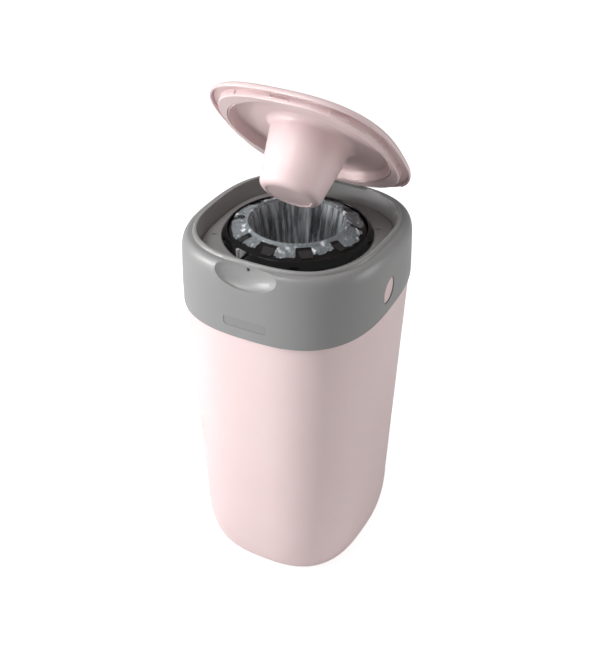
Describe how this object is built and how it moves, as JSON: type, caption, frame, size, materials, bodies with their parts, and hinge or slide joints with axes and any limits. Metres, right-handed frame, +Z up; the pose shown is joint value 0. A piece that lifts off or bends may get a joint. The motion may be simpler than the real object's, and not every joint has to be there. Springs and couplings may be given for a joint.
{
  "type": "nappy bin",
  "caption": "Tall tapered nappy bin with a hinged head, a turning film cassette, side release buttons and a domed lid with a twist plunger.",
  "frame": {"origin": "on the floor, under the middle of the tub", "axes": "+Z up, -Y to the front, +X to the right as seen from the front"},
  "size_m": [0.232, 0.2441, 0.589],
  "materials": {
    "tub_plastic": "smooth satin pink polypropylene",
    "lid_plastic": "smooth satin pink polypropylene",
    "plunger_plastic": "smooth satin pink polypropylene",
    "button_plastic": "smooth satin pink plastic",
    "head_plastic": "smooth satin warm grey plastic",
    "deck_plastic": "fine matt grey plastic",
    "guide_plastic": "plain grey plastic",
    "pawl_plastic": "plain dark plastic",
    "carrier_plastic": "glossy black plastic",
    "cassette_plastic": "black plastic",
    "cap_plastic": "glossy black plastic",
    "cutter_plastic": "plain black plastic",
    "grip_rubber": "matt black rubber",
    "film": "thin translucent white film",
    "pin_steel": "drawn steel",
    "spring_steel": "plain spring steel",
    "blade_steel": "ground steel",
    "screw_steel": "zinc-plated steel"
  },
  "bodies": {
    "tub": {"tub_shell": "tub_plastic", "left_button_guide": "guide_plastic", "right_button_guide": "guide_plastic", "left_button_spring": "spring_steel", "right_button_spring": "spring_steel", "head_hinge_pin": "pin_steel"},
    "left_button": {"left_release_button": "button_plastic"},
    "right_button": {"right_release_button": "button_plastic"},
    "head": {"head_shell": "head_plastic", "head_deck": "deck_plastic", "deck_screw_1": "screw_steel", "deck_screw_2": "screw_steel", "deck_screw_3": "screw_steel", "deck_screw_4": "screw_steel", "film_grip_ring": "grip_rubber", "cutter_guard": "cutter_plastic", "cutter_blade": "blade_steel", "cutter_screw": "screw_steel", "lid_hinge_pin": "pin_steel"},
    "pawl": {"click_pawl": "pawl_plastic"},
    "carrier": {"cassette_carrier": "carrier_plastic", "cassette_body": "cassette_plastic", "cassette_cap": "cap_plastic", "film_pack": "film", "film_liner": "film"},
    "lid": {"lid_cover": "lid_plastic", "lid_frame": "lid_plastic"},
    "dial": {"plunger_dial": "plunger_plastic", "dial_knob": "plunger_plastic"}
  },
  "joints": [
    {"name": "head_hinge", "type": "hinge", "parent": "tub", "child": "head", "pos_m": [0, 0.12055, 0.3612], "axis": [-1, 0, 0], "range_deg": [0, 75]},
    {"name": "left_press", "type": "slide", "parent": "tub", "child": "left_button", "axis": [1, 0, 0], "range_m": [0, 0.004], "stiffness_N_per_m": 900, "springref_m": -0.003, "deforming": ["left_button_spring"]},
    {"name": "right_press", "type": "slide", "parent": "tub", "child": "right_button", "axis": [-1, 0, 0], "range_m": [0, 0.004], "stiffness_N_per_m": 900, "springref_m": -0.003, "deforming": ["right_button_spring"]},
    {"name": "pawl_pivot", "type": "hinge", "parent": "head", "child": "pawl", "pos_m": [-0.0275, -0.08288, 0.406], "axis": [0, 0, 1], "range_deg": [0, 8], "stiffness_Nm_per_rad": 0.1, "springref_deg": -5.73},
    {"name": "carrier_spin", "type": "hinge", "parent": "head", "child": "carrier", "pos_m": [0, -0.0015, 0.386], "axis": [0, 0, 1], "continuous": true},
    {"name": "lid_hinge", "type": "hinge", "parent": "head", "child": "lid", "pos_m": [0, 0.1115, 0.432], "axis": [1, 0, 0], "range_deg": [-38, 47], "deforming": ["film_liner"]},
    {"name": "dial_twist", "type": "hinge", "parent": "lid", "child": "dial", "pos_m": [0, 0.02668, 0.50741], "axis": [0, 0.7314, 0.682], "continuous": true}
  ]
}
